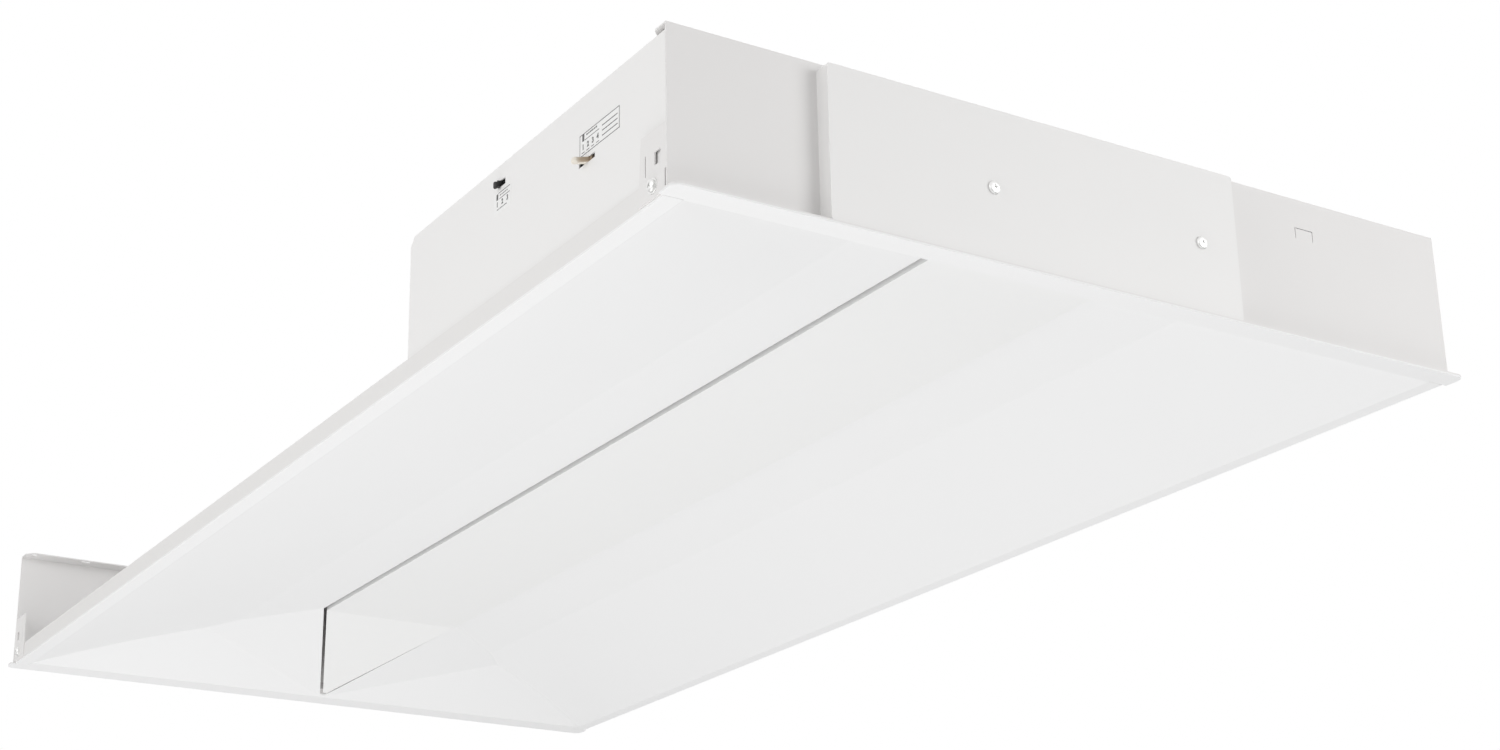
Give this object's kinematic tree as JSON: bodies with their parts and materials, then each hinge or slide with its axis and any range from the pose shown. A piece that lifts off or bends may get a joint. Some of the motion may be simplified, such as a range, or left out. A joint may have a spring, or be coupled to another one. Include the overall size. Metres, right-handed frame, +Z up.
{
  "type": "recessed troffer light",
  "caption": "Recessed lay-in ceiling light with a curved reflector face, a centre lens that runs to a point, a driver box and two selector switches.",
  "frame": {"origin": "centre of the face plane, on the underside of the flanges that rest on the ceiling grid", "axes": "+X along the light towards its driver end, +Z up into the ceiling space; the light shines along -Z"},
  "size_m": [1.2147, 0.609, 0.1042],
  "materials": {
    "reflector_enamel": "matt white enamel",
    "housing_enamel": "satin white enamel",
    "zinc_screws": "zinc plate",
    "lens_acrylic": "frosted diffuser",
    "spring_steel": "spring steel",
    "board_laminate": "white solder mask",
    "rivet_aluminium": "plain",
    "driver_case": "white enamel",
    "ground_green": "green plated",
    "connector_plastic": "orange nylon",
    "lead_insulation": "insulation",
    "cable_jacket": "grey jacket",
    "plug_plastic": "white nylon",
    "grommet_rubber": "rubber",
    "ivory_lever": "moulded, ivory",
    "black_lever": "moulded, black",
    "switch_housing": "moulded, black"
  },
  "bodies": {
    "housing": {"board_rivets": "rivet_aluminium", "box_screws": "zinc_screws", "colour_selector_body": "switch_housing", "corner_screws": "zinc_screws", "driver_base": "driver_case", "driver_box_bulkhead": "housing_enamel", "driver_box_top": "housing_enamel", "driver_cover": "driver_case", "driver_screws": "zinc_screws", "end_cover": "housing_enamel", "end_cover_screws": "zinc_screws", "far_end_panel": "reflector_enamel", "far_end_plate": "housing_enamel", "ground_screw": "ground_green", "hatch_screws": "zinc_screws", "lead_grommet": "grommet_rubber", "led_board_1": "board_laminate", "led_board_2": "board_laminate", "led_board_3": "board_laminate", "led_board_4": "board_laminate", "led_lead": "cable_jacket", "led_plug": "plug_plastic", "left_wing": "reflector_enamel", "lens": "lens_acrylic", "lens_clips": "spring_steel", "light_tray": "housing_enamel", "near_end_panel": "reflector_enamel", "near_end_plate": "housing_enamel", "output_selector_body": "switch_housing", "plain_side_panel": "housing_enamel", "point_hood": "housing_enamel", "right_wing": "reflector_enamel", "supply_leads": "lead_insulation", "switch_leads": "cable_jacket", "switch_side_panel": "housing_enamel", "tray_end_plate": "housing_enamel", "wire_connectors": "connector_plastic", "wiring_hatch": "housing_enamel"},
    "colour_lever": {"colour_selector_lever": "ivory_lever"},
    "output_lever": {"output_selector_lever": "black_lever"}
  },
  "joints": [
    {"name": "colour_select", "type": "slide", "parent": "housing", "child": "colour_lever", "axis": [1, 0, 0], "range_m": [-0.006, 0.006]},
    {"name": "output_select", "type": "slide", "parent": "housing", "child": "output_lever", "axis": [1, 0, 0], "range_m": [0, 0.005]}
  ]
}
